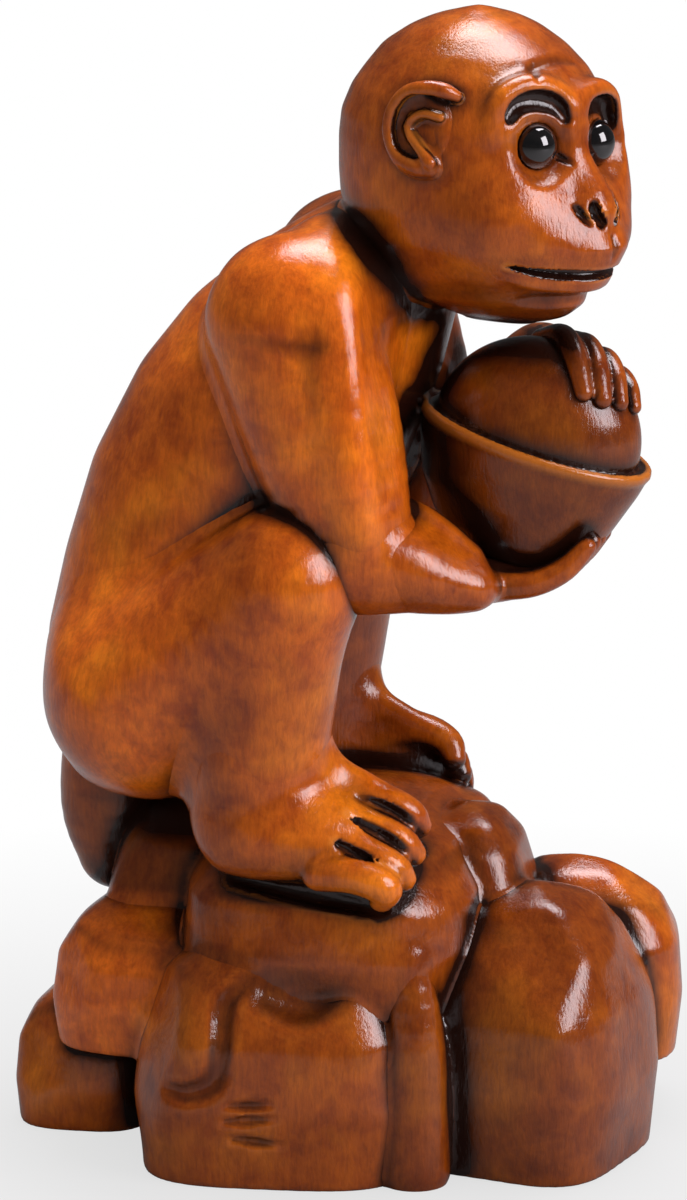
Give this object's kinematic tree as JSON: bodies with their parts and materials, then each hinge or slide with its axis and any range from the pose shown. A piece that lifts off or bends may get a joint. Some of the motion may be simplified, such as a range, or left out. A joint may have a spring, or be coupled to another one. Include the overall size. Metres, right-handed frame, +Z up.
{
  "type": "monkey figurine",
  "caption": "Carved wooden monkey squatting on a pile of boulders, hugging a boat-shaped ingot, with its head turned to its right and glass bead eyes.",
  "frame": {"origin": "on the table, at the bottom centre of the bounding box", "axes": "+Z up, -Y the way the monkey's chest and feet face, +X towards its left side"},
  "size_m": [0.0423, 0.0569, 0.1],
  "materials": {
    "lacquered_wood": "gloss lacquer over a rubbed brown stain",
    "bead_glass": "polished"
  },
  "bodies": {
    "root": {"torso": "lacquered_wood", "head": "lacquered_wood", "right_ear": "lacquered_wood", "left_ear": "lacquered_wood", "right_upper_arm": "lacquered_wood", "left_upper_arm": "lacquered_wood", "right_forearm": "lacquered_wood", "left_forearm": "lacquered_wood", "right_hand": "lacquered_wood", "left_hand": "lacquered_wood", "right_thigh": "lacquered_wood", "left_thigh": "lacquered_wood", "right_shin": "lacquered_wood", "left_shin": "lacquered_wood", "right_foot": "lacquered_wood", "left_foot": "lacquered_wood", "tail": "lacquered_wood", "ingot": "lacquered_wood", "right_boulder": "lacquered_wood", "front_boulder": "lacquered_wood", "left_boulder": "lacquered_wood", "front_left_boulder": "lacquered_wood", "rear_low_boulder": "lacquered_wood", "rear_left_boulder": "lacquered_wood", "rear_boulder": "lacquered_wood", "ledge_rock": "lacquered_wood", "toe_rock": "lacquered_wood", "seat_rock": "lacquered_wood", "right_eye": "bead_glass", "left_eye": "bead_glass"}
  },
  "joints": []
}
